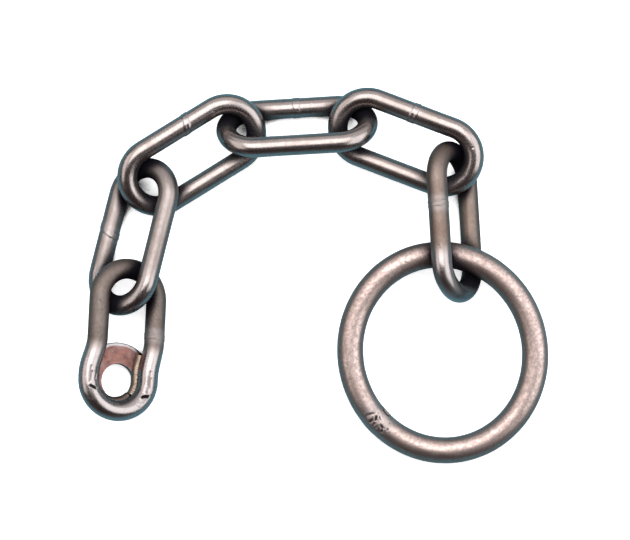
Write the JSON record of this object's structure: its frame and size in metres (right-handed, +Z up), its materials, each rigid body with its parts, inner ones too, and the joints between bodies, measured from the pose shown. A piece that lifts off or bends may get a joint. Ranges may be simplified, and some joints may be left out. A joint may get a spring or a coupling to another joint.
{
  "type": "short ring-end chain",
  "caption": "Short steel chain of long straight-sided links with a large round ring on one end and a flat washer welded under the bend of the end link.",
  "frame": {"origin": "on the floor, under the middle of the chain's box", "axes": "+Z up from the floor; +X from the washer end's side to the ring's side; +Y towards the top of the arc"},
  "size_m": [0.2104, 0.1696, 0.0326],
  "materials": {
    "link_steel": "bare warm grey steel, worn smooth, dark in the hollows",
    "ring_steel": "bare steel with a fine satin grain",
    "washer_steel": "heat-tinted red-brown steel with light rust and a bright worn rim"
  },
  "bodies": {
    "link_1": {"link_1": "link_steel", "washer": "washer_steel"},
    "link_2": {"link_2": "link_steel"},
    "link_3": {"link_3": "link_steel"},
    "link_4": {"link_4": "link_steel"},
    "link_5": {"link_5": "link_steel"},
    "link_6": {"link_6": "link_steel"},
    "ring": {"ring": "ring_steel"}
  },
  "joints": [
    {"name": "link_2_turn", "type": "hinge", "parent": "link_1", "child": "link_2", "pos_m": [-0.08596, -0.01241, 0.014], "axis": [0, 0, 1], "range_deg": [-12, 2]},
    {"name": "link_3_turn", "type": "hinge", "parent": "link_2", "child": "link_3", "pos_m": [-0.07966, 0.04579, 0.014], "axis": [0, 0, 1], "range_deg": [-6, 28]},
    {"name": "link_4_turn", "type": "hinge", "parent": "link_3", "child": "link_4", "pos_m": [-0.03276, 0.07299, 0.014], "axis": [0, 0, 1], "range_deg": [-10, 26]},
    {"name": "link_5_turn", "type": "hinge", "parent": "link_4", "child": "link_5", "pos_m": [0.02144, 0.07439, 0.014], "axis": [0, 0, 1], "range_deg": [-10, 26]},
    {"name": "link_6_turn", "type": "hinge", "parent": "link_5", "child": "link_6", "pos_m": [0.06194, 0.05159, 0.014], "axis": [0, 0, 1], "range_deg": [-5, 60]},
    {"name": "ring_turn", "type": "hinge", "parent": "link_6", "child": "ring", "pos_m": [0.06424, -0.00631, 0.014], "axis": [0, 0, 1], "range_deg": [-35, 45]}
  ]
}
